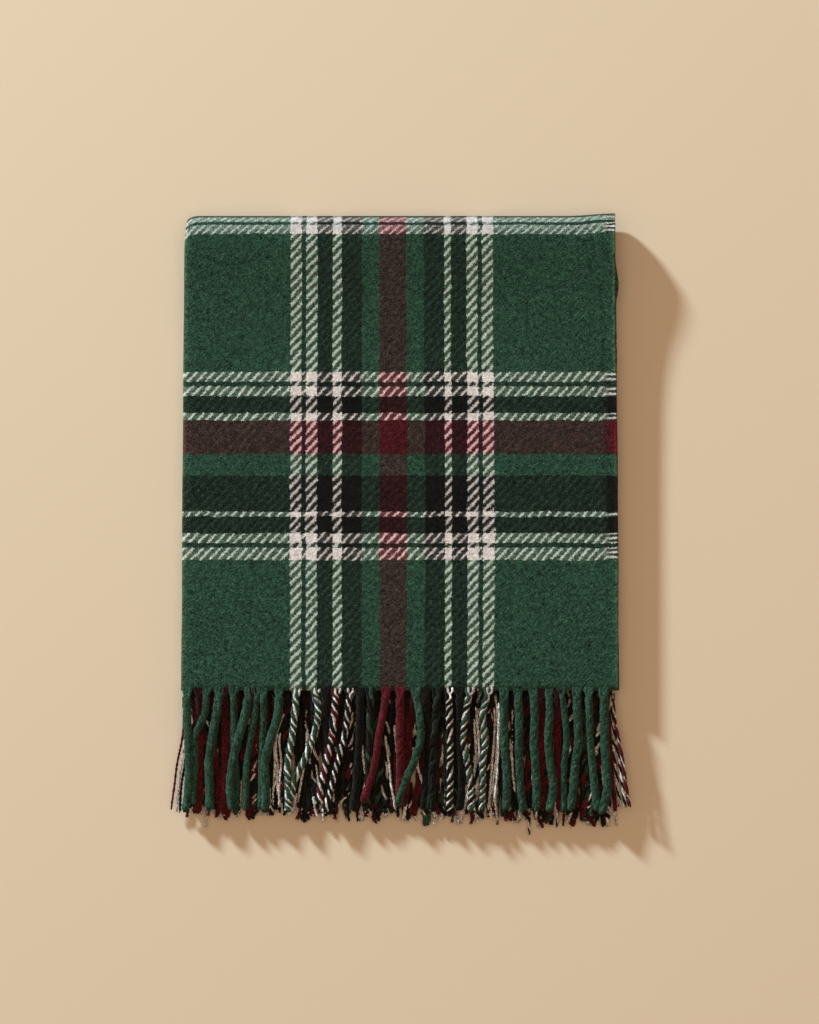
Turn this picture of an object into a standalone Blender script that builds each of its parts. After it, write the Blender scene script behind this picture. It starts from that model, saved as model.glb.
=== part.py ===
"""Folded blanket scarf with twisted fringe, lying flat: metres, +Z up, origin on the surface under its middle.

The cloth is one woven piece. It is folded once along its length, with the fold at -X and both
selvedges at +X, and then twice across, which makes eight layers. Counted from the top they are 1 to 8.
The outermost stretch runs along the top (layer 1), round the back fold at +Y, along the underside
(layer 8) and up round the front fold. The layers inside it share one solid. The two fringed ends leave
the pile at -Y and lie down on the surface.
"""

import math

import bmesh
import bpy

# The pile
BACK_Y = 0.2450
FRINGE_ROOT_Y = -0.1338
BACK_LEFT, BACK_RIGHT = -0.1712, 0.1716
FRONT_LEFT, FRONT_RIGHT = -0.1746, 0.1748
CLOTH = 0.0021
GAP = 0.0003

# Its height: a loose round fold at the back, settling towards the front
BACK_FOLD_RADIUS = 0.0138
SETTLED_HEIGHT = 0.0170
LOFT_REACH = 0.048

# The front fold, which lies under the fringe
FRONT_FOLD_Y = -0.1296
FRONT_FOLD_RADIUS = 0.0044
BEHIND_FRONT_FOLD = FRONT_FOLD_Y + FRONT_FOLD_RADIUS + GAP
ROLLED_EDGE_RADIUS = 0.0014
UNDER_LAYER_PROUD = 0.0020

# Steps along and across the walls
TOP_STEPS, BACK_STEPS, BASE_STEPS, FRONT_STEPS = 16, 14, 6, 8
EDGE_STEPS, WIDTH_STEPS = 3, 6

# Each fringe as a plain solid of its reach. Heights are those of its middle.
FRINGE_THICKNESS = 0.0055
FRINGE_COLUMNS = ("name", "tip_y", "tip_left", "tip_right", "root_height", "tip_height", "lies_down")
FRINGES = (
    ("fringe_first_end", -0.2330, -0.1762, 0.1796, 0.0141, 0.0093, 0.90),
    ("fringe_second_end", -0.2450, -0.1840, 0.1840, 0.0083, 0.00276, 0.55),
)
FRINGE_STEPS_ALONG, FRINGE_STEPS_ACROSS = 12, 6

# Layered edges of the folded inside, as steps from its rim inwards: how far in, and how far out
FOLDED_EDGE = (
    (0.00045, 0.0),
    (0.00020, 0.0020),
    (0.00090, -0.0006),
    (0.00050, -0.0013),
    (0.00050, 0.0013),
    (0.00080, 0.0006),
    (0.00120, 0.0),
    (0.00060, -0.0006),
    (0.00040, -0.0013),
)
SELVEDGE_STACK = (
    (0.00190, 0.0),
    (0.00030, -0.0018),
    (0.00170, 0.0),
    (0.00030, 0.0009),
    (0.00160, 0.0),
)


def share(value, start, end):
    return (value - start) / (end - start)


def left_edge(y):
    return BACK_LEFT + (FRONT_LEFT - BACK_LEFT) * share(y, BACK_Y, FRINGE_ROOT_Y)


def right_edge(y):
    return BACK_RIGHT + (FRONT_RIGHT - BACK_RIGHT) * share(y, BACK_Y, FRINGE_ROOT_Y)


def pile_height(y):
    """Height of the top face, level where it meets the back fold."""
    loft = 2 * BACK_FOLD_RADIUS - SETTLED_HEIGHT
    from_fold = BACK_Y - BACK_FOLD_RADIUS - y
    return SETTLED_HEIGHT + loft / (1 + (from_fold / LOFT_REACH) ** 2)


def arc(centre_y, centre_z, radius, start, end, steps):
    """(y, z) points on an arc about the X axis, angles in degrees from +Y towards +Z."""
    for i in range(steps + 1):
        angle = math.radians(start + (end - start) * i / steps)
        yield centre_y + radius * math.cos(angle), centre_z + radius * math.sin(angle)


def top_run(depth):
    """Points this deep under the top face, from the fringe back to the back fold: one at the fringe, one
    above the back of the front fold, and the others closer together towards the back fold."""
    end = BACK_Y - BACK_FOLD_RADIUS
    yield FRINGE_ROOT_Y, pile_height(FRINGE_ROOT_Y) - depth
    for i in range(TOP_STEPS):
        y = BEHIND_FRONT_FOLD + (end - BEHIND_FRONT_FOLD) * math.sin(math.pi / 2 * i / TOP_STEPS)
        yield y, pile_height(y) - depth


def outer_path():
    """The middle of the outermost stretch: top, back fold, underside and front fold."""
    middle = CLOTH / 2
    front = FRONT_FOLD_Y + FRONT_FOLD_RADIUS
    back = BACK_Y - BACK_FOLD_RADIUS
    points = list(top_run(middle))
    points += arc(back, BACK_FOLD_RADIUS, BACK_FOLD_RADIUS - middle, 90, -90, BACK_STEPS)
    points += [(back + (front - back) * i / BASE_STEPS, middle) for i in range(1, BASE_STEPS)]
    points += arc(front, FRONT_FOLD_RADIUS, FRONT_FOLD_RADIUS - middle, -90, -270, FRONT_STEPS)
    return points


def inward_normals(points):
    """A unit vector at each point of a path, towards the inside of its folds."""
    found = []
    for i in range(len(points)):
        y0, z0 = points[max(i - 1, 0)]
        y1, z1 = points[min(i + 1, len(points) - 1)]
        length = math.hypot(y1 - y0, z1 - z0)
        found.append(((z1 - z0) / length, -(y1 - y0) / length))
    return found


def across_section(y):
    """(x, depth) across the cloth, with the rolled fold at the left and the selvedge at the right."""
    radius = ROLLED_EDGE_RADIUS
    left, right = left_edge(y) + CLOTH / 2, right_edge(y)
    turns = [math.pi / 2 * i / EDGE_STEPS for i in range(EDGE_STEPS)]
    section = [(left + radius * (1 - math.cos(turn)), radius * (1 - math.sin(turn))) for turn in turns]
    start = left + radius
    section += [(start + (right - start) * i / WIDTH_STEPS, 0.0) for i in range(WIDTH_STEPS + 1)]
    return section


def material(name, colour, roughness):
    made = bpy.data.materials.new(name)
    made.use_nodes = True
    shader = made.node_tree.nodes["Principled BSDF"]
    shader.inputs["Base Color"].default_value = (*colour, 1)
    shader.inputs["Roughness"].default_value = roughness
    shader.inputs["Metallic"].default_value = 0
    return made


def add_object(name, bm, surface):
    bmesh.ops.recalc_face_normals(bm, faces=bm.faces)
    mesh = bpy.data.meshes.new(name)
    bm.to_mesh(mesh)
    bm.free()
    mesh.materials.append(surface)
    mesh.shade_smooth()
    mesh.set_sharp_from_angle(angle=math.radians(35))
    made = bpy.data.objects.new(name, mesh)
    bpy.context.scene.collection.objects.link(made)
    return made


def thicken(piece, thickness):
    wall = piece.modifiers.new("wall", "SOLIDIFY")
    wall.thickness = thickness
    wall.offset = 0
    wall.use_even_offset = True
    return piece


def sheet(rows, columns, place):
    """A grid of this many rows and columns, each vertex moved to place(row, column)."""
    bm = bmesh.new()
    bmesh.ops.create_grid(bm, x_segments=columns - 1, y_segments=rows - 1, size=1)
    for vertex in bm.verts:
        column = round((vertex.co.x + 1) / 2 * (columns - 1))
        row = round((vertex.co.y + 1) / 2 * (rows - 1))
        vertex.co = place(row, column)
    return bm


def make_outer_stretch(surface):
    path = outer_path()
    normals = inward_normals(path)
    sections = [across_section(y) for y, _ in path]

    def place(row, column):
        (y, z), (inward_y, inward_z) = path[row], normals[row]
        x, depth = sections[row][column]
        return x, y + inward_y * depth, z + inward_z * depth

    bm = sheet(len(path), len(sections[0]), place)
    return thicken(add_object("outer_stretch", bm, surface), CLOTH)


def inside_profile():
    """(y, z) outline of the layers that the outer stretch wraps, with the front fold's room left out."""
    wrapped = CLOTH + GAP
    over_front_fold = 2 * FRONT_FOLD_RADIUS + GAP
    back = BACK_Y - BACK_FOLD_RADIUS
    points = list(top_run(wrapped))
    points += arc(back, BACK_FOLD_RADIUS, BACK_FOLD_RADIUS - wrapped, 90, -90, BACK_STEPS)
    points += [
        (BEHIND_FRONT_FOLD, wrapped),
        (BEHIND_FRONT_FOLD, over_front_fold),
        (FRINGE_ROOT_Y, over_front_fold),
    ]
    return points


def layer_edge(bm, side, steps):
    """Works a side face into the edges of the layers, one inset for each step. The short stretch over the
    front fold stays plain: it is cut off first, from the point above the fold's back to the fold."""
    above, fold_back = side.verts[1], side.verts[-2]
    bmesh.ops.connect_verts(bm, verts=[above, fold_back])
    behind = [face for face in above.link_faces if fold_back in face.verts]
    behind = max(behind, key=lambda face: len(face.verts))
    for inwards, outwards in steps:
        bmesh.ops.inset_region(bm, faces=[behind], thickness=inwards, depth=outwards, use_even_offset=True)


def make_folded_inside(surface):
    bm = bmesh.new()
    left = bm.faces.new([bm.verts.new((-1, y, z)) for y, z in inside_profile()])
    copied = bmesh.ops.extrude_face_region(bm, geom=[left], use_keep_orig=True)["geom"]
    right = next(part for part in copied if isinstance(part, bmesh.types.BMFace))
    for vertex in right.verts:
        vertex.co.x = right_edge(vertex.co.y) + UNDER_LAYER_PROUD
    for vertex in left.verts:
        vertex.co.x = left_edge(vertex.co.y) + CLOTH + 2 * GAP
    bmesh.ops.recalc_face_normals(bm, faces=bm.faces)
    layer_edge(bm, left, FOLDED_EDGE)
    layer_edge(bm, right, SELVEDGE_STACK)
    return add_object("folded_inside", bm, surface)


def make_fringe(row, surface):
    fringe = dict(zip(FRINGE_COLUMNS, row, strict=True))
    root_y = FRINGE_ROOT_Y - GAP

    def place(along, across):
        forward = along / FRINGE_STEPS_ALONG
        sideways = across / FRINGE_STEPS_ACROSS
        y = root_y + (fringe["tip_y"] - root_y) * forward
        left = FRONT_LEFT + (fringe["tip_left"] - FRONT_LEFT) * forward
        right = FRONT_RIGHT + (fringe["tip_right"] - FRONT_RIGHT) * forward
        drop = min(forward / fringe["lies_down"], 1)
        drop = drop * drop * (3 - 2 * drop)
        z = fringe["root_height"] + (fringe["tip_height"] - fringe["root_height"]) * drop
        return left + (right - left) * sideways, y, z

    bm = sheet(FRINGE_STEPS_ALONG + 1, FRINGE_STEPS_ACROSS + 1, place)
    return thicken(add_object(fringe["name"], bm, surface), FRINGE_THICKNESS)


def main():
    for old in list(bpy.data.objects):
        bpy.data.objects.remove(old)
    green = material("green_wool", (0.022, 0.050, 0.032), 0.95)
    dark_green = material("dark_green_wool", (0.012, 0.026, 0.018), 0.95)
    burgundy = material("burgundy_yarn", (0.110, 0.010, 0.018), 0.9)
    make_outer_stretch(green)
    make_folded_inside(dark_green)
    for row, surface in zip(FRINGES, (green, burgundy), strict=True):
        make_fringe(row, surface)


main()
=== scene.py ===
import math
import random

import bmesh
import bpy
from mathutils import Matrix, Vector, noise


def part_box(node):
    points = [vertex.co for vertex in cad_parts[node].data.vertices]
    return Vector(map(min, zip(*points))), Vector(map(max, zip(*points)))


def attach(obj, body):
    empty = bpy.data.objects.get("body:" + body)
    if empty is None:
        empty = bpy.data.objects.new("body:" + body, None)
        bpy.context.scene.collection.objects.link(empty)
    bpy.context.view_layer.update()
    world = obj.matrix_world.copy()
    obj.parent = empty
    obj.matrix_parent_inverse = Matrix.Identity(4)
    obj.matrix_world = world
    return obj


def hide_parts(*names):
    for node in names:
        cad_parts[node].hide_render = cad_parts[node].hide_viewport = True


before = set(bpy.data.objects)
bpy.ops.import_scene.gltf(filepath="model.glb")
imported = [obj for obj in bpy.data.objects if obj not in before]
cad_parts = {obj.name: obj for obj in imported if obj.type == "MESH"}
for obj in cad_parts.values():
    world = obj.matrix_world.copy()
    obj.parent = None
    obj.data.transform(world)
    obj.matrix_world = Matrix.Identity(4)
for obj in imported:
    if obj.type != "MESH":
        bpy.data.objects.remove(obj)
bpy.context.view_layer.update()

# ---------------------------------------------------------------------------------------------------
# Sizes, in metres. The pile's own come from its part in model.glb.

PILE_LOW, PILE_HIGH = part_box("outer_stretch")
BACK_Y, ROOT_Y = PILE_HIGH.y, PILE_LOW.y
BACK_LEFT, BACK_RIGHT = -0.1712, 0.1716
FRONT_LEFT, FRONT_RIGHT = PILE_LOW.x, PILE_HIGH.x
# The room each layer takes, and the cloth's own thickness in it
CLOTH = 0.0021
WALL = 0.0019

BACK_FOLD_RADIUS = PILE_HIGH.z / 2
SETTLED_HEIGHT = 0.0170
LOFT_REACH = 0.048
FRONT_FOLD_Y, FRONT_FOLD_RADIUS = -0.1296, 0.0044

LAYERS = 8
WARP_THREADS = 194
WARP_PITCH = 0.00178
WEFT_PITCH = 0.00192
HALF_WIDTH = WARP_THREADS * WARP_PITCH

TASSEL_PITCH = 0.0118
TASSEL_WIDTH = 0.0066


def smooth(value):
    value = min(max(value, 0.0), 1.0)
    return value * value * (3 - 2 * value)


def blend(start, end, share):
    return start + (end - start) * share


def near(distance, reach):
    """1 at a place, easing to 0 this far from it."""
    return smooth(1 - distance / reach)


def past(value, start, reach):
    """0 up to a start, easing to 1 this far past it."""
    return smooth((value - start) / reach)


# ---------------------------------------------------------------------------------------------------
# Shader maths


class Value:
    """A shader socket that takes arithmetic: each operation on it adds a Math node."""

    def __init__(self, finish, socket):
        self.finish = finish
        self.socket = socket

    def math(self, operation, *others):
        sockets = {i: value for i, value in enumerate((self, *others))}
        return self.finish.node("ShaderNodeMath", {"operation": operation}, sockets)

    def __add__(self, other):
        return self.math("ADD", other)

    def __sub__(self, other):
        return self.math("SUBTRACT", other)

    def __rsub__(self, other):
        return self.finish.node("ShaderNodeMath", {"operation": "SUBTRACT"}, {0: other, 1: self})

    def __mul__(self, other):
        return self.math("MULTIPLY", other)

    def __truediv__(self, other):
        return self.math("DIVIDE", other)

    def __gt__(self, other):
        return self.math("GREATER_THAN", other)

    __radd__ = __add__
    __rmul__ = __mul__

    def floor(self):
        return self.math("FLOOR")

    def fract(self):
        return self.math("FRACT")

    def abs(self):
        return self.math("ABSOLUTE")

    def most(self, other):
        return self.math("MAXIMUM", other)


class Finish:
    """A material being mixed."""

    def __init__(self, name):
        self.material = bpy.data.materials.new(name)
        self.material.use_nodes = True
        self.tree = self.material.node_tree
        self.shader = self.tree.nodes["Principled BSDF"]

    def node(self, kind, settings, sockets, output=0):
        """A node of this kind, its settings made first, and then its sockets filled or linked."""
        made = self.tree.nodes.new(kind)
        for name, value in settings.items():
            if name == "stops":
                self.set_stops(made.color_ramp, value)
            else:
                setattr(made, name, value)
        for name, value in sockets.items():
            self.feed(made.inputs[name], value)
        return Value(self, made.outputs[output])

    def set_stops(self, ramp, stops):
        while len(ramp.elements) < len(stops):
            ramp.elements.new(0.5)
        for element, (position, colour) in zip(ramp.elements, stops):
            element.position = position
            element.color = (*colour, 1)

    def feed(self, socket, value):
        if isinstance(value, Value):
            self.tree.links.new(value.socket, socket)
        elif isinstance(value, tuple) and len(value) == 3 and socket.type == "RGBA":
            socket.default_value = (*value, 1)
        else:
            socket.default_value = value

    def stripes(self, place, threads):
        """The dye as seen at a place from 0 to 1 across an order of threads."""
        made = self.node("ShaderNodeValToRGB", {"stops": thread_stops(threads)}, {0: place})
        made.socket.node.color_ramp.interpolation = "CONSTANT"
        return made

    def mix(self, share, first, second, how="MIX"):
        settings = {"data_type": "RGBA", "blend_type": how, "clamp_factor": False}
        return self.node("ShaderNodeMix", settings, {0: share, 6: first, 7: second}, 2)

    def noise(self, vector, scale, detail=2.0, roughness=0.5):
        """A noise about 0."""
        sockets = {"Vector": vector, "Scale": scale, "Detail": detail, "Roughness": roughness}
        return self.node("ShaderNodeTexNoise", {}, sockets) - 0.5

    def parts(self, kind, whole):
        """What a node of this kind takes a colour or a vector apart into."""
        made = self.node(kind, {}, {0: whole}).socket.node
        return [Value(self, socket) for socket in made.outputs]

    def scatter(self, vector, scale):
        """Two noises that differ, each about 0."""
        sockets = {"Vector": vector, "Scale": scale, "Detail": 2.0}
        colour = self.node("ShaderNodeTexNoise", {}, sockets, 1)
        first, second, _ = self.parts("ShaderNodeSeparateColor", colour)
        return first - 0.5, second - 0.5

    def eased(self, value, start, end, low=0.0, high=1.0):
        sockets = {0: value, 1: start, 2: end, 3: low, 4: high}
        return self.node("ShaderNodeMapRange", {"interpolation_type": "SMOOTHSTEP"}, sockets)

    def light(self, dye):
        """1 where a dye as seen is the light one, and 0 where it is dark."""
        red, _, _ = self.parts("ShaderNodeSeparateColor", dye)
        return self.eased(red, 0.45, 0.72)

    def grey(self, value):
        return self.node("ShaderNodeCombineColor", {}, {0: value, 1: value, 2: value})

    def stretch(self, vector, scale):
        return self.node("ShaderNodeMapping", {}, {"Vector": vector, "Scale": scale})

    def multiplied(self, *colours):
        product = colours[0]
        for colour in colours[1:]:
            product = self.mix(1.0, product, colour, "MULTIPLY")
        return product

    def bump(self, height, distance):
        return self.node("ShaderNodeBump", {}, {"Height": height, "Distance": distance, "Strength": 1.0})

    def wool(self, seen, height, depth, sheen):
        """Finishes the material as soft wool, from a colour as seen and a relief of this depth."""
        self.feed(self.shader.inputs["Base Color"], self.node("ShaderNodeGamma", {}, {0: seen, 1: SIGHT}))
        self.feed(self.shader.inputs["Normal"], self.bump(height, depth))
        self.shader.inputs["Roughness"].default_value = 0.95
        self.shader.inputs["Specular IOR Level"].default_value = 0.1
        self.shader.inputs["Sheen Weight"].default_value = sheen
        self.shader.inputs["Sheen Roughness"].default_value = 0.35
        self.shader.inputs["Sheen Tint"].default_value = (*WARM_SHEEN, 1)
        return self.material


# ---------------------------------------------------------------------------------------------------
# Dyed wool, and the order of the threads

SIGHT = 2.2
WARM_SHEEN = (1.0, 0.88, 0.62)
PLAIN = (1.0, 1.0, 1.0)
# Painted highlight: how much lighter dark yarn is made where the window light catches the selvedge and the
# fold's crest
PAINTED_EDGE_LIGHT = (1.32, 1.14, 1.08)
GREEN = (0.0245, 0.063, 0.0385)
DEEP_GREEN = (0.012, 0.024, 0.016)
BLACK = (0.006, 0.006, 0.005)
BURGUNDY = (0.066, 0.0070, 0.0105)
CREAM = (0.830, 0.735, 0.680)
DYES = {"green": GREEN, "deep green": DEEP_GREEN, "black": BLACK, "burgundy": BURGUNDY, "cream": CREAM}

# Warp from the lengthwise fold out to the selvedge, on the half that shows
WARP_SHOWN = (
    ("green", 48),
    ("cream", 5),
    ("deep green", 2),
    ("cream", 5),
    ("black", 7),
    ("cream", 4),
    ("black", 9),
    ("green", 8),
    ("burgundy", 12),
    ("green", 8),
    ("black", 9),
    ("cream", 3),
    ("black", 7),
    ("cream", 5),
    ("deep green", 2),
    ("cream", 5),
    ("green", 55),
)
# Warp from the same fold out to the other selvedge, on the half folded under
WARP_UNDER = (
    ("green", 4),
    ("black", 5),
    ("burgundy", 12),
    ("black", 6),
    ("cream", 3),
    ("burgundy", 13),
    ("black", 14),
    ("cream", 5),
    ("green", 30),
    ("cream", 5),
    ("black", 16),
    ("burgundy", 12),
    ("green", 14),
    ("burgundy", 16),
    ("black", 12),
    ("cream", 4),
    ("burgundy", 8),
    ("deep green", 15),
)
# Weft from the fringe upwards, one repeat, and how far into it the cloth starts
WEFT_START = 3.7
WEFT = (
    ("green", 58),
    ("cream", 5),
    ("deep green", 2),
    ("cream", 4),
    ("black", 7),
    ("cream", 2),
    ("black", 15),
    ("green", 9),
    ("burgundy", 14),
    ("cream", 3),
    ("black", 7),
    ("cream", 4),
    ("deep green", 2),
    ("cream", 4),
)
WEFT_REPEAT = sum(threads for _, threads in WEFT)

# How far threads wander, and how far fibres stray where two dyes meet, in threads
DRIFT = 1.4
BLUR = 1.7
# The share of warp seen, from a weft float's middle to a warp float's: among dark dyes, and with a light one
FELTED_SHARES = (0.34, 0.62)
CLEAR_SHARES = (0.08, 0.84)
# Metres along the cloth over which the rubbing of the back fold, and the painted shade on its light yarn,
# set in and end
RUB_AND_SHADE_START, RUB_AND_SHADE_END = (0.363, 0.374), (0.430, 0.420)
# Metres in from the edge over which the selvedge and its last threads set in, and out from the fold's crest.
# The last threads and the crest take a painted highlight
SELVEDGE_START, SELVEDGE_FULL = 0.0115, 0.0050
LAST_START, LAST_FULL = 0.0028, 0.0014
CREST_END, CREST_FULL = 0.0050, 0.0010
# A ramp holds 256 steps, so a thread is looked up near its end, where no step falls short of it
WITHIN_THREAD = 0.85


def as_seen(colour):
    """A linear colour on the eye's own even scale."""
    return tuple(channel ** (1 / SIGHT) for channel in colour)


def thread_stops(order):
    """Ramp stops for an order of threads, over 0 to 1."""
    total = sum(threads for _, threads in order)
    stops, counted = [], 0
    for dye, threads in order:
        stops.append((counted / total, as_seen(DYES[dye])))
        counted += threads
    return stops


def tartan_cloth():
    """Brushed 2/2 twill. The map's U is the distance from the lengthwise fold, below 0 on the half folded
    under, and its V the distance from the first fringe, both in metres. Dyes are mixed as the eye sees
    them, so that the dark yarn's nap closes over the light one, and made linear at the end."""
    finish = Finish("tartan_cloth")
    place = finish.node("ShaderNodeUVMap", {"uv_map": "weave"}, {})
    across, along, _ = finish.parts("ShaderNodeSeparateXYZ", place)
    from_fold = across.abs()
    spot = finish.node("ShaderNodeTexCoord", {}, {}, "Object")

    # Threads wander from their own line, and loose fibres blur where two dyes meet
    drift_across, drift_along = finish.scatter(spot, 70.0)
    blur_across, blur_along = finish.scatter(spot, 780.0)
    warp_line = across / WARP_PITCH + drift_across * DRIFT
    weft_line = along / WEFT_PITCH + drift_along * DRIFT + WEFT_START
    warp = (warp_line + blur_across * BLUR).floor() + WITHIN_THREAD
    weft = (weft_line + blur_along * BLUR).floor() + WITHIN_THREAD
    shown = finish.stripes(warp / WARP_THREADS, WARP_SHOWN)
    under = finish.stripes(warp.abs() / WARP_THREADS, WARP_UNDER)
    warp_dye = finish.mix(across > 0.0, under, shown)
    weft_dye = finish.stripes((weft / WEFT_REPEAT).fract(), WEFT)

    # The twill line: 1 along the middle of the warp floats, 0 along the middle of the weft floats. It
    # shows where a dye is light, and the dark ones are felted together
    slant = weft_line - WEFT_START + 0.4 - warp_line + (blur_along - blur_across) * 2.0
    ridge = 1 - ((slant / 4 + 0.375).fract() * 2 - 1).abs()
    warp_light, weft_light = finish.light(warp_dye), finish.light(weft_dye)
    both_light = warp_light * weft_light
    felted = finish.eased(ridge, 0.1, 0.9, *FELTED_SHARES)
    clear = finish.eased(ridge + weft_light * 0.25 + warp_light * 0.03, 0.28, 0.88, *CLEAR_SHARES)
    warp_over = felted + (clear - felted) * warp_light.most(weft_light)
    # Round the back fold the yarns are rubbed together
    rubbed_and_shaded = finish.eased(along, *RUB_AND_SHADE_START) * finish.eased(along, *RUB_AND_SHADE_END)
    warp_over = warp_over + (0.58 - warp_over) * rubbed_and_shaded * 0.55

    # Within the selvedge the weft turns back and covers its warp, light weft in bars, with painted shade in
    # the hollows between
    selvedge = finish.eased(from_fold, HALF_WIDTH - SELVEDGE_START, HALF_WIDTH - SELVEDGE_FULL)
    dye = finish.mix(warp_over * (1 - selvedge), weft_dye, warp_dye)
    dark = 1 - finish.light(dye)
    bar = 1 - ((weft_line / 2 + blur_along * 0.6).fract() * 2 - 1).abs()
    painted_hollow_shade = 1 - selvedge * weft_light * (finish.eased(bar, 0.85, 0.25) * 0.66 + 0.10)

    # Painted highlight: dark yarn is made lighter on the selvedge's last threads, which curl up, and along
    # the fold's crest, where the low window light falls on them. Light yarn takes a tint from the dyed fluff
    # of the yarn that it crosses
    last_threads = finish.eased(from_fold, HALF_WIDTH - LAST_START, HALF_WIDTH - LAST_FULL)
    fold_crest = finish.eased(from_fold, CREST_END, CREST_FULL)
    painted_edge_light = finish.mix(last_threads.most(fold_crest) * dark, PLAIN, PAINTED_EDGE_LIGHT)
    fluff = finish.mix(1.0, warp_dye, weft_dye, "DARKEN")
    fluff = finish.mix(1.0, fluff, finish.node("ShaderNodeRGBToBW", {}, {0: fluff}), "SUBTRACT")
    tint = finish.mix((1 - dark) * (1 - both_light) * 0.72, PLAIN, fluff, "ADD")

    # Nap, mottled, with painted shade in the hollows between the floats, whose relief also feeds the bump:
    # less on light yarn
    nap = finish.noise(spot, 900.0, 2.0, 0.7)
    mottle = finish.noise(spot, 300.0, 2.0, 0.6)
    float_relief_and_shade = (ridge * 2 - 1).abs() * 0.13
    rough = 0.35 + dark * 0.65
    # Painted shade: light yarn round the back fold is darkened where the window light falls on it full
    painted_crest_shade = 1 - both_light * rubbed_and_shaded * 0.15
    shade = (0.925 + (float_relief_and_shade + nap * 2.1 + mottle * 1.1) * rough) * painted_hollow_shade * painted_crest_shade
    colour = finish.multiplied(dye, finish.grey(shade), tint, painted_edge_light)
    return finish.wool(colour, (float_relief_and_shade * 1.4 + nap * 2.0 + mottle * 1.2) * rough, 0.0005, sheen=0.24)


def fringe_yarn():
    """Softly spun yarn. Each ply carries its own dye, with painted shade near the root in the rows under the
    front one, and its place before it was twisted.
    """
    finish = Finish("fringe_yarn")
    dye = finish.node("ShaderNodeAttribute", {"attribute_name": "dye"}, {}, "Color")
    straight = finish.node("ShaderNodeAttribute", {"attribute_name": "fibre"}, {}, "Vector")
    spot = finish.node("ShaderNodeTexCoord", {}, {}, "Object")
    fibre = finish.noise(finish.stretch(straight, (1300.0, 1300.0, 420.0)), 1.0, 3.0, 0.7)
    slub = finish.noise(finish.stretch(straight, (420.0, 420.0, 150.0)), 1.0)
    nap = finish.noise(spot, 850.0, 2.0, 0.7)
    seen = finish.node("ShaderNodeGamma", {}, {0: dye, 1: 1 / SIGHT})
    colour = finish.multiplied(seen, finish.grey(0.98 + fibre * 1.6 + slub * 1.1 + nap * 2.0))
    return finish.wool(colour, fibre * 1.6 + slub + nap * 2.0, 0.0007, sheen=0.10)


def finish_piece(name, bm, surface, wall=0.0):
    mesh = bpy.data.meshes.new(name)
    bm.to_mesh(mesh)
    bm.free()
    mesh.materials.append(surface)
    mesh.shade_smooth()
    piece = bpy.data.objects.new(name, mesh)
    bpy.context.scene.collection.objects.link(piece)
    if wall:
        solid = piece.modifiers.new("wall", "SOLIDIFY")
        solid.thickness = wall
        solid.offset = 0
        solid.use_even_offset = True
    return piece


# ---------------------------------------------------------------------------------------------------
# The cloth: one sheet, folded once along its length and then twice across

# Where each pass of the pair ends at the right, past the pile's edge: the outer layer, then the inner
SELVEDGE_STAGGER = (
    (0.0002, 0.0004),
    (0.0004, -0.0006),
    (-0.0010, 0.0008),
    (0.0006, -0.0004),
)
# Near the back the second layer's selvedge comes out from under the first
BULGE_Y, BULGE_LENGTH, BULGE = 0.1900, 0.020, 0.0024

# The lie of the laid sheet: how far each feature reaches, and how far it moves the cloth
CROWN_REACH, CROWN_SHARE = 0.0090, 0.088
CORNER_RADIUS, CORNER_LENGTH, CORNER_PUSH = 0.0105, 0.030, 0.0012
RISE_REACH, RISE = 0.038, 0.0020
TUCK_HEIGHT, TUCK = 0.010, 0.0042
DIP_PLACE, DIP_REACH, DIP = 0.0055, 0.0035, 0.0004
CURL_REACH, CURL = 0.0032, 0.0009
SWELL_SIZE, SWELL = 0.055, 0.0005
EDGE_WAVE_SIZE, EDGE_WAVE, EDGE_WAVE_PART = 0.070, 0.0006, 0.17

# Stations along each run and round each fold, and columns across
TOP_STEPS, RUN_STEPS = 74, 36
OUTER_BACK_STEPS, FRONT_STEPS, INNER_BACK_STEPS = 18, 10, 12
FLAT_COLUMNS, FOLD_COLUMNS = 44, 5


def left_edge(y):
    return blend(BACK_LEFT, FRONT_LEFT, (BACK_Y - y) / (BACK_Y - ROOT_Y))


def right_edge(y):
    return blend(BACK_RIGHT, FRONT_RIGHT, (BACK_Y - y) / (BACK_Y - ROOT_Y))


def pile_height(y):
    loft = 2 * BACK_FOLD_RADIUS - SETTLED_HEIGHT
    from_fold = max(BACK_Y - BACK_FOLD_RADIUS - y, 0.0)
    return SETTLED_HEIGHT + loft / (1 + (from_fold / LOFT_REACH) ** 2)


def layer_step(y):
    return (pile_height(y) - CLOTH) / (LAYERS - 1)


class Station:
    """A place along the folded pair of layers: its middle, the way its outer layer lies, and its pass."""

    def __init__(self, y, z, out_y, out_z, step, turn):
        self.y, self.z = y, z
        self.out_y, self.out_z = out_y, out_z
        self.apart = step / 2
        self.turn = turn


def straight_run(start, end, level, out_z, steps, turn):
    """A level stretch. level counts layer steps up from the bottom layer to the middle of the pair."""
    for i in range(steps + 1):
        y = blend(start, end, i / steps)
        yield Station(y, CLOTH / 2 + level * layer_step(y), 0.0, out_z, layer_step(y), turn)


def fold_round(y, level, radius, start, end, steps, outwards, turn):
    """A round fold, its ends left out. radius is in layer steps, and the angles run from +Y towards +Z."""
    step = layer_step(y)
    for i in range(1, steps):
        angle = math.radians(blend(start, end, i / steps))
        reach_y, reach_z = math.cos(angle), math.sin(angle)
        centre_z = CLOTH / 2 + level * step
        yield Station(
            y + radius * step * reach_y,
            centre_z + radius * step * reach_z,
            outwards * reach_y,
            outwards * reach_z,
            step,
            blend(turn, turn + 1, i / steps),
        )


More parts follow.
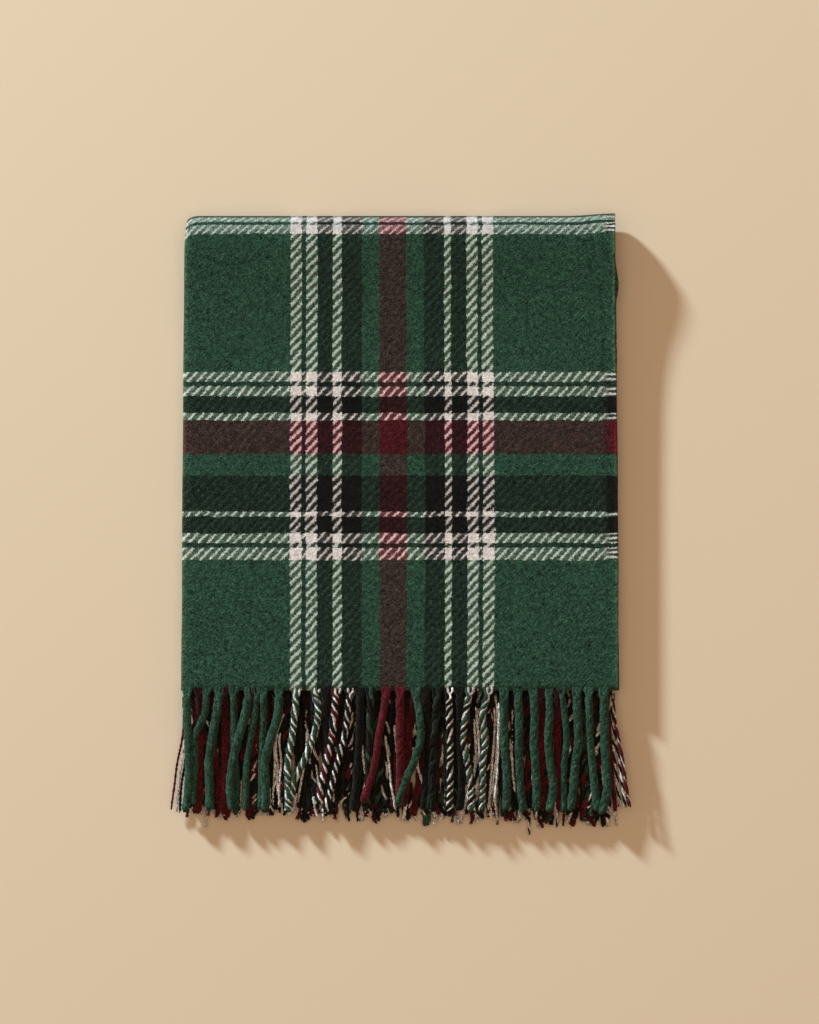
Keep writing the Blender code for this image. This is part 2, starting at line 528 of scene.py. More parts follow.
def folded_length():
    """Every station, from the first fringe over the top, round the folds and back to the second fringe."""
    back = BACK_Y - BACK_FOLD_RADIUS
    front = FRONT_FOLD_Y + FRONT_FOLD_RADIUS
    stations = list(straight_run(ROOT_Y, back, 6.5, 1, TOP_STEPS, 0))
    stations += fold_round(back, 3.5, 3.0, 90, -90, OUTER_BACK_STEPS, 1, 0)
    stations += straight_run(back, front, 0.5, -1, RUN_STEPS, 1)
    stations += fold_round(front, 1.5, 1.0, -90, -270, FRONT_STEPS, 1, 1)
    stations += straight_run(front, back, 2.5, 1, RUN_STEPS, 2)
    stations += fold_round(back, 3.5, 1.0, -90, 90, INNER_BACK_STEPS, -1, 2)
    stations += straight_run(back, ROOT_Y, 4.5, -1, RUN_STEPS, 3)
    return stations


def lengths_along(points):
    """How far along a path each of its points lies."""
    found = [0.0]
    for (y0, z0), (y1, z1) in zip(points, points[1:]):
        found.append(found[-1] + math.hypot(y1 - y0, z1 - z0))
    return found


def tightened(length):
    """The weft lies closer where the outer layer rounds the back fold."""
    before, round_fold, closer = 0.3620, 0.0450, 0.4
    return length + closer * min(max(length - before, 0.0), round_fold)


def selvedge_at(turn, side):
    """How far past the pile's edge a layer ends, easing from one pass to the next round a fold."""
    before = SELVEDGE_STAGGER[min(int(turn), 3)][side]
    after = SELVEDGE_STAGGER[min(int(turn) + 1, 3)][side]
    return blend(before, after, smooth(turn - int(turn)))


def column_places(flat_columns, fold_columns):
    """Where each column lies, from the inner selvedge round the lengthwise fold to the outer one: in the
    flat or the fold, on which side of the fold, and how far along. They crowd together at both edges."""
    eased = [(1 - math.cos(math.pi * i / flat_columns)) / 2 for i in range(1, flat_columns + 1)]
    turned = range(-fold_columns, fold_columns + 1)
    places = [("flat", -1, share) for share in reversed(eased)]
    places += [("fold", math.copysign(1, i), abs(i) / fold_columns) for i in turned]
    places += [("flat", 1, share) for share in eased]
    return places


def soft_wave(x, y, size, seed):
    return noise.noise(Vector((x / size + seed, y / size - seed, seed * 0.7)))


def settle(point, turn, right):
    """Softens a point of the ruled sheet: the back corners, the selvedge's curl and the lie of the top."""
    on_top = 1 - smooth(turn / 0.5)
    from_fold = (point.x - left_edge(point.y)) / CROWN_REACH
    point.z *= 1 - CROWN_SHARE * max(1 - from_fold, 0.0) ** 2
    # The back's left corner is rounded, and the sheet is drawn down round it
    at_back = past(point.y, BACK_Y - 0.034, 0.026)
    from_left = point.x - BACK_LEFT
    corner = max(1 - from_left / CORNER_RADIUS, 0.0)
    drawn = CORNER_RADIUS * (1 - math.sqrt(max(1 - corner * corner, 0.0)))
    point.y -= drawn * at_back * (0.6 + 0.4 * on_top)
    pushed = near(from_left, CORNER_LENGTH) * past(point.y, BACK_Y - CORNER_LENGTH, CORNER_LENGTH)
    point.x += CORNER_PUSH * pushed
    # Its right corner stands a little further back
    to_right = right - point.x
    point.y += RISE * near(to_right, RISE_REACH) * at_back
    # Under the back fold the sheet is drawn in
    point.y -= TUCK * near(point.z, TUCK_HEIGHT) * past(point.y, BACK_Y - 0.017, 0.010)
    # The top dips beside the selvedge, and its last threads curl up
    dip = near(abs(to_right - DIP_PLACE), DIP_REACH)
    point.z += on_top * (CURL * near(to_right, CURL_REACH) - DIP * dip)
    # The top swells and sinks a little, and the edges wander
    inland = smooth(from_left / 0.03) * smooth(to_right / 0.03) * (1 - at_back)
    point.z += on_top * inland * SWELL * soft_wave(point.x, point.y, SWELL_SIZE, 3.1)
    seed = 7.7 if from_left < EDGE_WAVE_PART else 2.3
    point.x += EDGE_WAVE * soft_wave(0.0, point.y + turn * 0.4, EDGE_WAVE_SIZE, seed)
    return point


def place_column(column, apart, left, right):
    """Where a column lies at one station, whose layers are this far from the middle of the pair: x, the
    offset towards the outer layer, and the distance along the cloth from the lengthwise fold."""
    kind, side, share = column
    if kind == "fold":
        angle = share * math.pi / 2
        return left + apart * (1 - math.cos(angle)), side * apart * math.sin(angle), side * apart * angle
    across = blend(apart * math.pi / 2, HALF_WIDTH, share)
    return blend(left + apart, right, share), side * apart, side * across


def lay_cloth(surface):
    stations = folded_length()
    columns = column_places(FLAT_COLUMNS, FOLD_COLUMNS)
    outer = lengths_along([(s.y + s.out_y * s.apart, s.z + s.out_z * s.apart) for s in stations])
    inner = lengths_along([(s.y - s.out_y * s.apart, s.z - s.out_z * s.apart) for s in stations])
    outer = [tightened(length) for length in outer]
    bm = bmesh.new()
    bmesh.ops.create_grid(bm, x_segments=len(columns) - 1, y_segments=len(stations) - 1, size=1)
    weave = bm.loops.layers.uv.new("weave")
    threads = {}
    for vertex in bm.verts:
        column = columns[round((vertex.co.x + 1) / 2 * (len(columns) - 1))]
        row = round((vertex.co.y + 1) / 2 * (len(stations) - 1))
        station = stations[row]
        side = column[1]
        left = left_edge(station.y) + CLOTH / 2
        right = right_edge(station.y) + selvedge_at(station.turn, 0 if side > 0 else 1)
        if side < 0 and station.turn < 0.5:
            right += BULGE * near(abs(station.y - BULGE_Y), BULGE_LENGTH)
        x, off, across = place_column(column, station.apart, left, right)
        y = station.y + station.out_y * off
        z = station.z + station.out_z * off
        vertex.co = settle(Vector((x, y, z)), station.turn, right)
        threads[vertex] = (across, blend(inner[row], outer[row], (off / station.apart + 1) / 2))
    for face in bm.faces:
        for loop in face.loops:
            loop[weave].uv = threads[loop.vert]
    return finish_piece("scarf_cloth", bm, surface, wall=WALL)


# ---------------------------------------------------------------------------------------------------
# The fringe

LOOSE_CREAM = (0.700, 0.620, 0.565)
LOOSE_BURGUNDY = (0.092, 0.0065, 0.0120)
DYE_LETTERS = {"g": GREEN, "d": DEEP_GREEN, "k": BLACK, "b": LOOSE_BURGUNDY, "c": LOOSE_CREAM}

# The front row, from left to right. root and sways are in millimetres across: the root from the middle,
# and each sway from the root, at even steps down to the tip. reach is its length, and lift how much
# higher than its neighbours it lies. The letters are its plies, and the twist is its hand.
FRONT_COLUMNS = ("root", "sways", "reach", "lift", "plies", "twist", "width")
FRONT_ROW = (
    (-169.5, (0.0, 1.0, 1.5, 1.0, -1.5), 98, 0.0, "ggg", 1, 1.05),
    (-160.0, (0.5, 0.8, 0.8, 0.0, -1.5), 98, -3.5, "bbb", 1, 1.0),
    (-154.0, (-1.5, -9.5, -9.0, -10.5, -11.0), 92, -1.0, "ggg", 1, 1.0),
    (-143.5, (-2.5, -6.0, -8.5, -8.0, -8.0), 97, 1.0, "ggg", 1, 1.1),
    (-140.0, (0.5, 1.0, 0.5, -0.5, -2.5), 98, -3.5, "bbb", 1, 0.95),
    (-132.5, (0.5, 0.0, 1.5, 2.5, 1.5), 99, -2.0, "ggg", 1, 0.9),
    (-120.0, (-3.0, -8.5, -13.0, -15.0, -13.5), 96, 1.5, "ggg", 1, 1.1),
    (-114.0, (-1.5, -5.0, -8.0, -8.5, -9.0), 98, 0.5, "ggg", 1, 0.85),
    (-117.0, (0.0, 0.5, 0.5, 0.0, 0.5), 97, -4.0, "bbb", 1, 0.9),
    (-109.0, (0.5, -0.5, -1.0, -1.0, -2.0), 97, -1.5, "ggg", 1, 0.95),
    (-96.0, (-1.0, -7.0, -11.5, -11.0, -11.5), 98, 1.0, "ggg", 1, 1.1),
    (-82.5, (-1.0, -3.5, -6.5, -6.5, -6.0), 97, 0.0, "gcgc", 1, 1.0),
    (-67.0, (2.5, -1.0, -7.5, -16.5, -20.0), 88, 1.0, "gcgc", 1, 1.05),
    (-59.0, (0.0, 1.0, 2.0, 1.0, 3.0), 97, -1.5, "kkk", 1, 1.0),
    (-50.5, (-1.5, -3.5, -7.5, -11.5, -14.0), 93, 0.5, "bckc", 1, 1.05),
    (-40.0, (-1.5, -4.5, -10.0, -15.0, -20.0), 100, 1.0, "kckc", 1, 0.9),
    (-31.5, (0.0, -1.0, -2.0, -3.0, -6.0), 97, -1.0, "kkk", 1, 1.0),
    (-23.0, (-0.5, -1.0, -2.0, -3.0, -3.0), 96, -0.5, "kgk", 1, 0.95),
    (-10.5, (-2.5, -6.0, -8.5, -13.0, -19.0), 91, 1.0, "bbb", 1, 0.9),
    (0.5, (0.0, 0.0, 0.5, 0.0, -0.5), 94, 0.5, "bbb", -1, 1.05),
    (13.0, (3.0, 4.0, -1.0, -9.5, -14.5), 93, 2.0, "ggg", -1, 0.95),
    (20.5, (0.5, 1.0, 1.0, 0.0, -1.0), 97, -1.0, "kkk", -1, 1.0),
    (30.0, (-1.0, -3.0, -3.5, -4.0, -5.0), 97, -0.5, "kdk", -1, 1.05),
    (39.5, (0.5, 1.0, 1.0, 1.0, 0.5), 97, 1.0, "kckc", -1, 1.05),
    (48.0, (0.0, 0.0, 1.0, 1.5, 0.0), 97, -1.0, "kkk", -1, 1.0),
    (56.0, (-3.5, -5.0, -1.5, 1.5, 1.5), 98, 1.0, "gckc", -1, 1.0),
    (71.0, (-4.5, -2.5, -4.5, -4.5, -5.0), 98, 0.5, "gcgc", -1, 1.0),
    (83.5, (0.0, 0.0, 1.5, 2.5, 1.5), 97, 0.5, "ggg", -1, 1.05),
    (94.5, (1.0, 1.0, 1.0, 2.0, 4.5), 98, 0.0, "ggg", -1, 1.05),
    (107.0, (1.0, 0.5, 1.5, 2.5, 2.5), 97, 0.5, "ggg", -1, 1.05),
    (113.5, (0.0, 0.0, 0.5, 0.5, 0.0), 97, -3.5, "bbb", -1, 0.9),
    (119.0, (1.0, -0.5, 1.5, 4.0, 0.5), 98, 1.0, "ggg", -1, 1.0),
    (126.5, (0.0, 0.0, 0.0, 0.5, 1.5), 97, -3.5, "bbb", -1, 0.9),
    (129.0, (3.0, 4.5, 2.5, 2.0, 2.0), 98, -0.5, "ggg", -1, 0.85),
    (141.5, (0.5, 1.5, -1.0, -2.5, -5.0), 97, 1.0, "ggg", -1, 1.05),
    (151.0, (0.5, 1.0, 3.0, 5.0, 7.0), 97, 0.0, "ggg", -1, 1.0),
    (163.0, (0.5, 1.0, 2.0, 3.0, -1.5), 99, 1.0, "ggg", -1, 1.1),
)

# The rows under it, from left to right, one word for each tassel
ROW_COLUMNS = ("name", "root_height", "tip_height", "reach", "left", "right", "plies")
ROWS_UNDER = (
    ("fringe_second_row", 0.0138, 0.0074, 0.099, -0.168, 0.172,
     "kkb bbb kbk bbb ckc bbb kkk kbk kkk kck kgk bkk kcc kkk kgk ckk bbb bbb kbk kgk kkk bck kcc kck "
     "kkk kkk kkb bbb bkb kck ggk bbk ckc"),
    ("fringe_middle_row", 0.0126, 0.0060, 0.098, -0.167, 0.171,
     "bbb kkk kkk bkb kkk kkk bbk kkk kkk kkk kkk kbk kkk kkk kkk bkk kkk kkk bbb bkb kkk kkk kkk kkk "
     "kkk kkk kkk kkk bkk bbb kkk kkk bbk kkk kkk kbk"),
    ("fringe_third_row", 0.0117, 0.0046, 0.103, -0.171, 0.172,
     "bbk kck bbb bbk kkk ccb kkk ggk kcc bkk kkk kcb kkk ckc gkk bkk kkb ckc bbb kck gkg kkk bcc ggk "
     "cck kbc bbk gkk ccb kkk bbb ckk kcc"),
    ("fringe_fourth_row", 0.0096, 0.0030, 0.1085, -0.172, 0.173,
     "bkb bbb ccb bbb bbk kcc ggg kkk ccc kck bbk kck ccb kkk bck ccc gkk bkc kkc ccb kck ggg ccb kck "
     "ccc gkc bbc kcc bbb ccc kbb ccb bbb kgg ccb bkc kck"),
)

# Loose yarns. start is how far down the fringe they come into sight, and drop how much lower they end
LOOSE_COLUMNS = ("root", "sways", "start", "reach", "plies", "width", "drop")
LOOSE_YARNS = (
    (-172.0, (0.0, -1.5, -5.5, -8.0, -10.5), 24, 97, "bb", 2.4, 4.0),
    (-170.0, (0.0, -1.0, -4.0, -6.5, -8.0), 40, 98, "cc", 2.0, 5.0),
    (-168.0, (0.0, -1.0, -3.5, -6.5, -7.5), 40, 98, "kk", 2.6, 5.0),
    (-88.5, (-3.0, -9.0, -10.0, -8.5, -13.0), 10, 82, "cc", 2.1, 0.0),
    (-90.0, (-2.5, -6.0, -4.5, -6.0, -6.0), 30, 95, "cc", 2.3, 0.0),
    (-92.0, (-2.0, -8.0, -7.5, -8.5, -9.0), 26, 93, "cc", 2.0, 1.0),
    (-99.0, (-1.0, -2.0, -1.0, 0.5, 2.0), 50, 84, "cc", 2.3, 0.0),
    (-80.0, (4.0, 6.0, 5.0, 1.5, -1.0), 24, 90, "cc", 2.3, 1.0),
    (-74.5, (0.5, -1.0, 1.5, 2.0, 3.0), 8, 60, "cc", 2.3, 0.0),
    (-71.0, (0.5, 1.0, 4.0, 6.5, 8.0), 52, 96, "cc", 2.0, 2.0),
    (-36.0, (2.0, 5.0, 7.0, 8.5, 5.5), 34, 90, "cc", 2.3, 0.0),
    (-11.0, (-1.0, 0.0, 2.5, 4.5, 8.0), 30, 96, "cc", 2.3, 0.0),
    (-2.5, (-1.0, -1.5, -1.0, 0.5, 1.0), 20, 60, "cc", 2.3, 0.0),
    (17.0, (1.0, 0.5, -1.0, -2.5, 1.5), 44, 75, "cc", 2.3, 0.0),
    (45.5, (0.5, 1.0, 2.0, 5.0, 8.0), 26, 84, "cc", 2.3, 0.0),
    (52.0, (-0.5, -1.0, 1.0, 3.0, 2.0), 6, 90, "cc", 2.4, -1.0),
    (58.5, (1.0, 1.5, 2.5, 1.5, 0.0), 16, 78, "cc", 2.3, 0.0),
    (61.0, (0.5, 2.0, 3.0, 5.0, 4.5), 4, 92, "cc", 2.4, -1.0),
    (65.0, (0.0, 1.0, 2.5, 3.0, 2.0), 8, 88, "ccc", 3.0, -0.5),
    (79.5, (0.0, -0.5, -1.0, -2.0, -4.0), 2, 90, "ccc", 3.0, -1.0),
    (73.5, (2.5, 2.0, 0.5, -1.0, -2.5), 14, 97, "cc", 2.3, 0.0),
    (76.5, (1.5, 2.0, 1.0, -1.0, -3.0), 4, 84, "cc", 2.3, 0.0),
    (89.5, (1.0, 1.0, 1.0, 0.5, -1.0), 6, 56, "cc", 2.3, 0.0),
    (87.0, (0.5, 1.0, 2.5, 3.5, 5.0), 38, 82, "cc", 2.3, 0.0),
    (100.5, (1.0, 2.0, 4.0, 6.0, 8.0), 60, 88, "cc", 2.3, 0.0),
    (158.0, (-0.5, 0.0, 1.5, 4.5, 6.0), 56, 84, "cc", 2.3, 0.0),
    (169.5, (0.5, 3.0, 6.0, 8.5, 11.0), 4, 95, "ckc", 3.6, -1.5),
    (168.0, (0.5, 2.0, 4.0, 6.0, 8.0), 20, 93, "ckc", 3.2, 1.0),
    (166.5, (0.5, 1.5, 2.5, 4.0, 6.0), 16, 97, "bbb", 4.0, 0.5),
    (170.5, (0.5, 4.0, 7.5, 10.0, 13.0), 2, 94, "bcb", 3.4, -4.0),
    (-152.0, (0.0, 0.0, -0.5, -1.5, -3.0), 84, 110, "cc", 2.4, 6.0),
    (-60.5, (0.0, 0.0, 0.5, 0.0, -0.5), 84, 105, "cc", 2.4, 5.0),
    (30.0, (0.0, 0.0, 0.0, -0.5, -2.0), 84, 108, "cc", 2.4, 5.0),
    (103.5, (0.0, 0.0, 0.0, 0.5, 0.0), 92, 116, "ck", 2.2, 6.0),
)


def waved(sways, share):
    """The sideways shift at a share of the way down, on a soft curve through even steps."""
    points = (0.0, 0.0, *sways, sways[-1])
    at = min(max(share, 0.0), 0.9999) * len(sways)
    i = int(at)
    t = at - i
    before, here, after, beyond = points[i : i + 4]
    return 0.5 * (
        2 * here
        + (after - before) * t
        + (2 * before - 5 * here + 4 * after - beyond) * t * t
        + (3 * here - before - 3 * after + beyond) * t * t * t
    )


def straight_ply(sides, rings):
    """A capped tube one long and one in radius, cut into rings, to be copied for each ply."""
    bm = bmesh.new()
    bmesh.ops.create_cone(bm, cap_ends=True, segments=sides, radius1=1, radius2=1, depth=1)
    bmesh.ops.translate(bm, verts=bm.verts, vec=(0, 0, 0.5))
    uprights = [e for e in bm.edges if abs(e.verts[0].co.z - e.verts[1].co.z) > 0.5]
    bmesh.ops.subdivide_edges(bm, edges=uprights, cuts=rings - 1, use_grid_fill=True)
    mesh = bpy.data.meshes.new("straight_ply")
    bm.to_mesh(mesh)
    bm.free()
    return mesh


# A tassel starts this far inside the cloth, and its plies have come together this far on
ROOT_INSIDE, GATHER = 0.0030, 0.0065
# How wide a ply is against its tassel: fine ones are thinner, and plain tassels are felted nearly round
PLY_SHARE = {"plain": 0.385, "three": 0.29, "four": 0.26}
# A light ply in a dyed tassel is thinner, and its width less even
LIGHT_PLY, LIGHT_SWELL, PLAIN_SWELL = 0.60, 0.75, 0.22
# The twist is tighter here and looser there
UNEVEN_TWIST, UNEVEN_STRETCHES = 2.3, 9
# Towards the tip the plies part and thin
LOOSENED_FROM, PARTING, THINNING = 0.88, 0.7, 0.22
CUT_CLOSING = 0.62
# Painted shade: yarn is darker near its root, in the rows under the front one and in the front row's tassels
# that lie low, where the tassels above shade it
PAINTED_ROOT_SHADE, PAINTED_ROOT_SHADE_LENGTH = 0.14, 0.045


def makeup_of(plies):
    if len(plies) == 3 and len(set(plies)) == 1:
        return "plain"
    return "three" if len(plies) < 4 else "four"


def twist_tassel(bm, form, route, plies, width, pitch, hand, start_turn, draws,
                 root_width=TASSEL_PITCH * 0.64, root_shading=1.0):
    """Plies twisted round each other along a route, from flat side by side in the cloth to round.
    route takes the share of the way down and gives a point."""
    dye_and_shade_layer = bm.verts.layers.float_color["dye"]
    fibre_layer = bm.verts.layers.float_vector["fibre"]
    length = (route(1.0) - route(0.0)).length
    count = len(plies)
    root_share = root_width / count
    full_ply = width * PLY_SHARE[makeup_of(plies)]
    reach = width / 2 - full_ply
    for number, letter in enumerate(plies):
        light = letter == "c" and count > 2
        ply = full_ply * (LIGHT_PLY if light else 1.0)
        swell = LIGHT_SWELL if light else PLAIN_SWELL
        seen = len(bm.verts)
        bm.from_mesh(form)
        bm.verts.ensure_lookup_table()
        tint = draws.uniform(0.85, 1.15)
        dye = [channel * tint for channel in DYE_LETTERS[letter]]
        cut = 1 - draws.uniform(0.0, 0.025)
        shift = draws.uniform(0, 10)
        beside = root_width / 2 - (number + 0.5) * root_share
        frames = {}
        for vertex in bm.verts[seen:]:
            along, side_x, side_y = vertex.co.z, vertex.co.x, vertex.co.y
            ring = round(along * 1000)
            if ring not in frames:
                share = along * cut
                uneven = noise.noise(Vector((start_turn * 9, 0.5, share * UNEVEN_STRETCHES)))
                turn = start_turn + uneven * UNEVEN_TWIST + hand * 2 * math.pi * share * length / pitch
                turn += 2 * math.pi * number / count
                loosened = past(share, LOOSENED_FROM, 1 - LOOSENED_FROM)
                parted = reach * (1 + PARTING * loosened)
                thinned = ply * (1 - THINNING * loosened)
                frames[ring] = ply_frame(route, share, length, thinned, parted, turn, beside, root_share)
            centre, across, up, wide, high = frames[ring]
            lump = noise.noise(Vector((side_x * 1.3 + shift, side_y * 1.3, along * length * 420)))
            closing = (CUT_CLOSING if along > 0.999 else 1.0) * (1 + swell * lump)
            vertex.co = centre + across * (side_x * wide * closing) + up * (side_y * high * closing)
            # Painted shade, fading out along the yarn from its root
            root_shaded = blend(root_shading, 1.0, smooth(along * length / PAINTED_ROOT_SHADE_LENGTH))
            vertex[dye_and_shade_layer] = (*(channel * root_shaded for channel in dye), 1)
            vertex[fibre_layer] = (side_x * wide, side_y * high, along * length + shift)


def ply_frame(route, share, length, ply, reach, turn, beside, root_share):
    """A ply's middle, the ways across and up, and its half width and height, at a share of the way down.
    At the root it lies flat at its own place beside the others, and then it goes round them."""
    point = route(share)
    ahead = (route(share + 0.004) - route(share - 0.004)).normalized()
    across = ahead.cross(Vector((0, 0, 1))).normalized()
    up = across.cross(ahead)
    gathered = past(share * length, ROOT_INSIDE, GATHER)
    side_offset = blend(beside, reach * math.cos(turn), gathered)
    up_offset = blend(0.0, reach * math.sin(turn), gathered)
    wide = blend(root_share * 0.62, ply * 1.06, gathered)
    high = blend(0.0008, ply, gathered)
    return point + across * side_offset + up * up_offset, across, up, wide, high


def new_fringe():
    bm = bmesh.new()
    bm.verts.layers.float_color.new("dye")
    bm.verts.layers.float_vector.new("fibre")
    return bm


FRONT_TIP_HEIGHT = 0.0106
# How far down a tassel one turn of its plies takes
DYED_PITCH, PLAIN_PITCH, UNDER_PITCH = 0.0155, 0.026, 0.020
# Sides and rings of a ply in the front row, in the rows under it and in the loose yarns
FRONT_PLY, UNDER_PLY, LOOSE_PLY = (8, 56), (7, 44), (7, 24)
# Rows and cut ends reach further down from left to right, from this much less, by this much in all
SLANT_START, SLANT = -0.0065, 0.009


def lay_front_row(surface):
    draws = random.Random(11)
    bm = new_fringe()
    form = straight_ply(*FRONT_PLY)
    root_height = pile_height(ROOT_Y) - CLOTH / 2
    for values in FRONT_ROW:
        tassel = dict(zip(FRONT_COLUMNS, values, strict=True))
        tip_height = FRONT_TIP_HEIGHT + draws.uniform(-0.001, 0.001)
        reach = tassel["reach"] / 1000

        def route(share, tassel=tassel, tip_height=tip_height, reach=reach):
            forward = share * (reach + ROOT_INSIDE) - ROOT_INSIDE
            x = tassel["root"] + waved(tassel["sways"], max(forward, 0) / reach)
            z = blend(root_height, tip_height, smooth(forward / reach / 0.95))
            z += tassel["lift"] / 1000 * smooth(forward / 0.03)
            z += 0.0009 * past(forward, -ROOT_INSIDE, ROOT_INSIDE)
            return Vector((x / 1000, ROOT_Y - forward, z))

        plies = tassel["plies"]
        pitch = DYED_PITCH if "c" in plies else PLAIN_PITCH
        width = TASSEL_WIDTH * tassel["width"]
        # Tassels that lie low under their neighbours take the painted root shade
        root_shading = PAINTED_ROOT_SHADE if tassel["lift"] < -3 else 1.0
        turn = draws.uniform(0, 6)
        twist_tassel(bm, form, route, plies, width, pitch, tassel["twist"], turn, draws, root_shading=root_shading)
    bpy.data.meshes.remove(form)
    return finish_piece("fringe_front_row", bm, surface)


def lay_row_under(values, surface, seed):
    row = dict(zip(ROW_COLUMNS, values, strict=True))
    draws = random.Random(seed)
    bm = new_fringe()
    form = straight_ply(*UNDER_PLY)
    tassels = row["plies"].split()
    for i, plies in enumerate(tassels):
        root = blend(row["left"], row["right"], (i + 0.5) / len(tassels)) * 0.985
        sways = [draws.uniform(-3.5, 3.5) for _ in range(5)]
        drift = draws.uniform(-2.5, 2.5)
        sways = [sway * 0.6 + drift * k for k, sway in enumerate(sways, start=1)]
        reach = row["reach"] + draws.uniform(-0.006, 0.003) + SLANT_START + SLANT * i / len(tassels)
        tip_height = row["tip_height"] + draws.uniform(0, 0.0012)

        def route(share, root=root, sways=sways, reach=reach, tip_height=tip_height):
            forward = share * (reach + ROOT_INSIDE) - ROOT_INSIDE
            x = root + waved(sways, max(forward, 0) / reach) / 1000
            z = blend(row["root_height"], tip_height, smooth(forward / reach / 0.7))
            return Vector((x, ROOT_Y - forward, z))

        width = TASSEL_WIDTH * draws.uniform(0.95, 1.15)
        hand = draws.choice((-1, 1))
        turn = draws.uniform(0, 6)
        twist_tassel(bm, form, route, plies, width, UNDER_PITCH, hand, turn, draws, root_shading=PAINTED_ROOT_SHADE)
    bpy.data.meshes.remove(form)
    return finish_piece(row["name"], bm, surface)


CUT_ENDS = 88
CUT_END_DYES = "ccccbbkg"


def lay_cut_ends(bm, form, draws):
    """Single yarns that come out between the tassels near their tips."""
    for number in range(CUT_ENDS):
        root = blend(FRONT_LEFT, FRONT_RIGHT, (number + draws.uniform(0.1, 0.9)) / CUT_ENDS) * 0.985
        sway = draws.uniform(-0.006, 0.006)
        start = draws.uniform(0.070, 0.086)
        reach = draws.uniform(0.101, 0.109) + SLANT_START + SLANT * number / CUT_ENDS
        height = draws.uniform(0.0050, 0.0105)

        def route(share, root=root, sway=sway, start=start, reach=reach, height=height):
            z = blend(height, max(height - 0.0025, 0.0030), share)
            return Vector((root + sway * share * share, ROOT_Y - blend(start, reach, share), z))

        dye = draws.choice(CUT_END_DYES)
        width = draws.uniform(0.0020, 0.0030)
        turn = draws.uniform(0, 6)
        twist_tassel(bm, form, route, dye * 2, width, 0.009, 1, turn, draws, root_width=width * 0.8)


def lay_loose_yarns(surface):
    draws = random.Random(5)
    bm = new_fringe()
    form = straight_ply(*LOOSE_PLY)
    for values in LOOSE_YARNS:
        yarn = dict(zip(LOOSE_COLUMNS, values, strict=True))
        start, reach = yarn["start"] / 1000, yarn["reach"] / 1000

        def route(share, yarn=yarn, start=start, reach=reach):
            forward = blend(start, reach, share)
            x = yarn["root"] + waved(yarn["sways"], forward / reach)
            fall = smooth(forward / reach)
            z = blend(0.0150, 0.0110, fall) - yarn["drop"] / 1000 * fall
            z -= 0.004 * near(forward - start, 0.012)
            return Vector((x / 1000, ROOT_Y - forward, z))

        width = yarn["width"] / 1000
        pitch = 0.008 if len(yarn["plies"]) == 2 else 0.014
        turn = draws.uniform(0, 6)
        twist_tassel(bm, form, route, yarn["plies"], width, pitch, 1, turn, draws, root_width=width * 0.8)
    lay_cut_ends(bm, form, draws)
    bpy.data.meshes.remove(form)
    return finish_piece("loose_yarns", bm, surface)


# ---------------------------------------------------------------------------------------------------
# Surface, light and camera

FLOOR_COLOUR = (0.800, 0.620, 0.440)
VIEW_CENTRE = (0.008, 0.0086)
VIEW_HEIGHT = 0.8192
CAMERA_HEIGHT = 6.0
SUN_TRAVEL = Vector((1.95, -2.2, -1.0))
WINDOW_DISTANCE = 6.0
WINDOW_ACROSS = 0.60
WINDOW_LIGHT = (0.375, 0.478, 0.548)
FILL_LIGHT = (0.505, 0.402, 0.307)
CEILING_SHARE = 0.50
CEILING_HEIGHT, CEILING_RADIUS = 8.0, 4.0


def lay_floor():
    bm = bmesh.new()
    bmesh.ops.create_grid(bm, x_segments=1, y_segments=1, size=4)
    finish = Finish("pale_floor")
    finish.shader.inputs["Base Color"].default_value = (*FLOOR_COLOUR, 1)
    finish.shader.inputs["Roughness"].default_value = 0.9
    finish.shader.inputs["Specular IOR Level"].default_value = 0.1
    floor = finish_piece("floor", bm, finish.material)


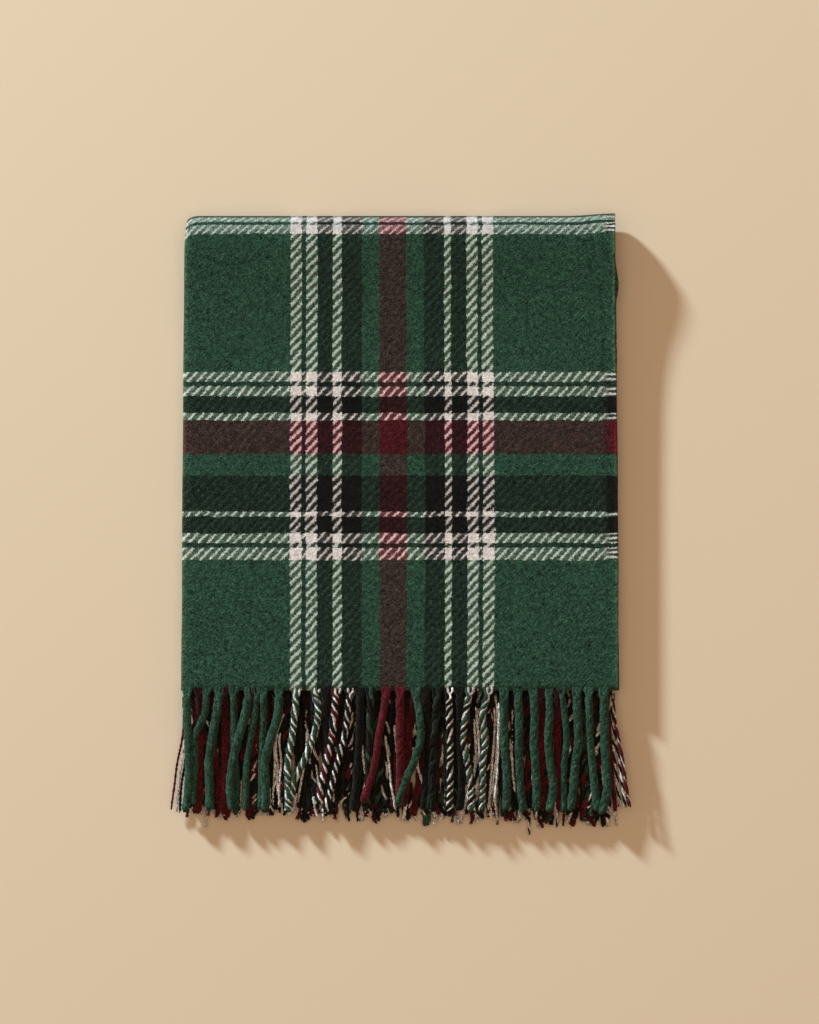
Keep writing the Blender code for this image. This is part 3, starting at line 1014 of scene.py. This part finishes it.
def add_disk_light(name, place, travel, diameter, colour, energy_for_white):
    """A disk of light. Its colour is what a flat white surface would send back, and energy_for_white the
    spread of its distance and slant."""
    brightest = max(colour)
    light = bpy.data.lights.new(name, "AREA")
    light.shape = "DISK"
    light.size = diameter
    light.energy = math.pi ** 2 * energy_for_white * brightest
    light.color = [channel / brightest for channel in colour]
    holder = bpy.data.objects.new(name, light)
    holder.location = place
    holder.rotation_euler = travel.to_track_quat("-Z", "Y").to_euler()
    bpy.context.scene.collection.objects.link(holder)


def light_scene():
    """A low window, up and to the left, and a soft fill from the room, half of it from the ceiling."""
    travel = SUN_TRAVEL.normalized()
    middle = Vector((*VIEW_CENTRE, 0))
    window = middle - travel * WINDOW_DISTANCE
    spread = WINDOW_DISTANCE ** 2 / -travel.z
    add_disk_light("low_window", window, travel, WINDOW_ACROSS, WINDOW_LIGHT, spread)
    ceiling = [channel * CEILING_SHARE for channel in FILL_LIGHT]
    spread = CEILING_HEIGHT ** 2 + CEILING_RADIUS ** 2
    down = Vector((0, 0, -1))
    above = middle + Vector((0, 0, CEILING_HEIGHT))
    add_disk_light("ceiling", above, down, 2 * CEILING_RADIUS, ceiling, spread)
    world = bpy.data.worlds.new("room_fill")
    bpy.context.scene.world = world
    world.use_nodes = True
    background = world.node_tree.nodes["Background"]
    background.inputs["Color"].default_value = (*FILL_LIGHT, 1)
    background.inputs["Strength"].default_value = 1.0 - CEILING_SHARE
    bpy.context.scene.view_settings.view_transform = "Standard"


def place_camera():
    camera = bpy.data.cameras.new("overhead")
    camera.sensor_width = 36
    camera.lens = camera.sensor_width * CAMERA_HEIGHT / VIEW_HEIGHT
    camera.clip_end = 20
    holder = bpy.data.objects.new("overhead", camera)
    holder.location = (*VIEW_CENTRE, CAMERA_HEIGHT)
    bpy.context.scene.collection.objects.link(holder)
    bpy.context.scene.camera = holder


def main():
    lay_floor()
    light_scene()
    place_camera()
    cloth = lay_cloth(tartan_cloth())
    yarn = fringe_yarn()
    front = lay_front_row(yarn)
    under = [lay_row_under(row, yarn, seed) for seed, row in enumerate(ROWS_UNDER, start=21)]
    loose = lay_loose_yarns(yarn)
    fringe = [front, *under, loose]
    for piece in [cloth, *fringe]:
        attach(piece, "root")
    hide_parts("outer_stretch", "folded_inside")
    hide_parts("fringe_first_end")
    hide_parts("fringe_second_end")


main()
